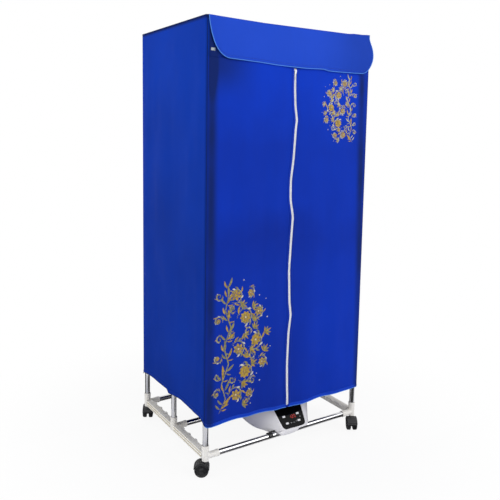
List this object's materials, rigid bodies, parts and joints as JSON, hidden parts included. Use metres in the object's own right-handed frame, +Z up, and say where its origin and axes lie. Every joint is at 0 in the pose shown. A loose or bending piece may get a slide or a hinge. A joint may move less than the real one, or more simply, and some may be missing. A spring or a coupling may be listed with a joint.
{
  "type": "portable clothes dryer",
  "caption": "Free-standing clothes dryer: tube frame on swivelling castors, zipped fabric cover with a valance, and a fan heater with a button panel on the base bars.",
  "frame": {"origin": "on the floor under the middle of the frame", "axes": "+Z up, -Y towards the zipped front, +X to the right as seen from the front"},
  "size_m": [0.7368, 0.5568, 1.5],
  "materials": {
    "chromed_steel": "polished",
    "ivory_plastic": "moulded satin",
    "white_plastic": "moulded semi-gloss",
    "black_plastic": "moulded satin",
    "blue_fabric": "woven polyester",
    "valance_fabric": "woven polyester",
    "zip_plastic": "moulded coil",
    "panel_acrylic": "glossy",
    "bare_steel": "drawn",
    "circuit_board": "lacquered",
    "heating_ceramic": "finned"
  },
  "bodies": {
    "frame": {"base_rail_left": "ivory_plastic", "base_rail_right": "ivory_plastic", "middle_rail_left": "ivory_plastic", "middle_rail_right": "ivory_plastic", "top_rail_left": "ivory_plastic", "top_rail_right": "ivory_plastic", "lower_upright_left_front": "chromed_steel", "lower_upright_left_middle": "chromed_steel", "lower_upright_left_rear": "chromed_steel", "lower_upright_right_front": "chromed_steel", "lower_upright_right_middle": "chromed_steel", "lower_upright_right_rear": "chromed_steel", "upper_upright_left_front": "chromed_steel", "upper_upright_left_middle": "chromed_steel", "upper_upright_left_rear": "chromed_steel", "upper_upright_right_front": "chromed_steel", "upper_upright_right_middle": "chromed_steel", "upper_upright_right_rear": "chromed_steel", "base_bar_front": "chromed_steel", "base_bar_middle": "chromed_steel", "base_bar_rear": "chromed_steel", "middle_bar_front": "chromed_steel", "middle_bar_rear": "chromed_steel", "top_bar_front": "chromed_steel", "top_bar_middle": "chromed_steel", "top_bar_rear": "chromed_steel", "cover_body": "blue_fabric", "heater_base": "white_plastic", "heater_top": "white_plastic", "lid_screw_left": "bare_steel", "lid_screw_right": "bare_steel", "intake_grille": "white_plastic", "fan_motor": "bare_steel", "heating_element": "heating_ceramic", "element_holder": "bare_steel", "control_pod": "white_plastic", "control_panel": "panel_acrylic", "control_board": "circuit_board", "bar_clip": "black_plastic", "cord_gland": "black_plastic"},
    "castor_left_front": {"castor_hood_left_front": "black_plastic"},
    "wheels_left_front": {"castor_wheels_left_front": "black_plastic"},
    "castor_right_front": {"castor_hood_right_front": "black_plastic"},
    "wheels_right_front": {"castor_wheels_right_front": "black_plastic"},
    "castor_left_rear": {"castor_hood_left_rear": "black_plastic"},
    "wheels_left_rear": {"castor_wheels_left_rear": "black_plastic"},
    "castor_right_rear": {"castor_hood_right_rear": "black_plastic"},
    "wheels_right_rear": {"castor_wheels_right_rear": "black_plastic"},
    "door_left": {"door_left": "blue_fabric", "zip_chain_left": "zip_plastic"},
    "door_right": {"door_right": "blue_fabric", "zip_chain_right": "zip_plastic"},
    "valance": {"valance": "valance_fabric"},
    "zip_slider": {"zip_slider": "zip_plastic"},
    "zip_pull": {"zip_pull": "zip_plastic"},
    "impeller": {"impeller": "black_plastic"},
    "button_upper_left": {"button_upper_left": "white_plastic"},
    "button_upper_right": {"button_upper_right": "white_plastic"},
    "button_lower_left": {"button_lower_left": "white_plastic"},
    "button_lower_right": {"button_lower_right": "white_plastic"}
  },
  "joints": [
    {"name": "swivel_left_front", "type": "hinge", "parent": "frame", "child": "castor_left_front", "pos_m": [-0.326, -0.236, 0.055], "axis": [0, 0, 1], "continuous": true},
    {"name": "roll_left_front", "type": "hinge", "parent": "castor_left_front", "child": "wheels_left_front", "pos_m": [-0.33618, -0.22964, 0.024], "axis": [-0.5299, -0.848, 0], "continuous": true},
    {"name": "swivel_right_front", "type": "hinge", "parent": "frame", "child": "castor_right_front", "pos_m": [0.326, -0.236, 0.055], "axis": [0, 0, 1], "continuous": true},
    {"name": "roll_right_front", "type": "hinge", "parent": "castor_right_front", "child": "wheels_right_front", "pos_m": [0.31964, -0.24618, 0.024], "axis": [0.848, -0.5299, 0], "continuous": true},
    {"name": "swivel_left_rear", "type": "hinge", "parent": "frame", "child": "castor_left_rear", "pos_m": [-0.326, 0.236, 0.055], "axis": [0, 0, 1], "continuous": true},
    {"name": "roll_left_rear", "type": "hinge", "parent": "castor_left_rear", "child": "wheels_left_rear", "pos_m": [-0.31964, 0.24618, 0.024], "axis": [-0.848, 0.5299, 0], "continuous": true},
    {"name": "swivel_right_rear", "type": "hinge", "parent": "frame", "child": "castor_right_rear", "pos_m": [0.326, 0.236, 0.055], "axis": [0, 0, 1], "continuous": true},
    {"name": "roll_right_rear", "type": "hinge", "parent": "castor_right_rear", "child": "wheels_right_rear", "pos_m": [0.33618, 0.22964, 0.024], "axis": [0.5299, 0.848, 0], "continuous": true},
    {"name": "door_left_swing", "type": "hinge", "parent": "frame", "child": "door_left", "pos_m": [-0.325, -0.2495, 0.76], "axis": [0, 0, -1], "range_deg": [0, 110]},
    {"name": "door_right_swing", "type": "hinge", "parent": "frame", "child": "door_right", "pos_m": [0.325, -0.2495, 0.76], "axis": [0, 0, 1], "range_deg": [0, 110]},
    {"name": "valance_lift", "type": "hinge", "parent": "frame", "child": "valance", "pos_m": [0, -0.251, 1.499], "axis": [-1, 0, 0], "range_deg": [0, 110]},
    {"name": "zip_run", "type": "slide", "parent": "door_left", "child": "zip_slider", "axis": [0, 0, -1], "range_m": [0, 1.15]},
    {"name": "zip_pull_hang", "type": "hinge", "parent": "zip_slider", "child": "zip_pull", "pos_m": [-0.0026, -0.253, 1.3485], "axis": [-1, 0, 0], "range_deg": [0, 110]},
    {"name": "impeller_spin", "type": "hinge", "parent": "frame", "child": "impeller", "pos_m": [0.04, -0.091, 0.094], "axis": [0, 0, 1], "continuous": true},
    {"name": "press_upper_left", "type": "slide", "parent": "frame", "child": "button_upper_left", "axis": [0, 0.7337, -0.6794], "range_m": [0, 0.0008], "stiffness_N_per_m": 500},
    {"name": "press_upper_right", "type": "slide", "parent": "frame", "child": "button_upper_right", "axis": [0, 0.7337, -0.6794], "range_m": [0, 0.0008], "stiffness_N_per_m": 500},
    {"name": "press_lower_left", "type": "slide", "parent": "frame", "child": "button_lower_left", "axis": [0, 0.7337, -0.6794], "range_m": [0, 0.0008], "stiffness_N_per_m": 500},
    {"name": "press_lower_right", "type": "slide", "parent": "frame", "child": "button_lower_right", "axis": [0, 0.7337, -0.6794], "range_m": [0, 0.0008], "stiffness_N_per_m": 500}
  ]
}
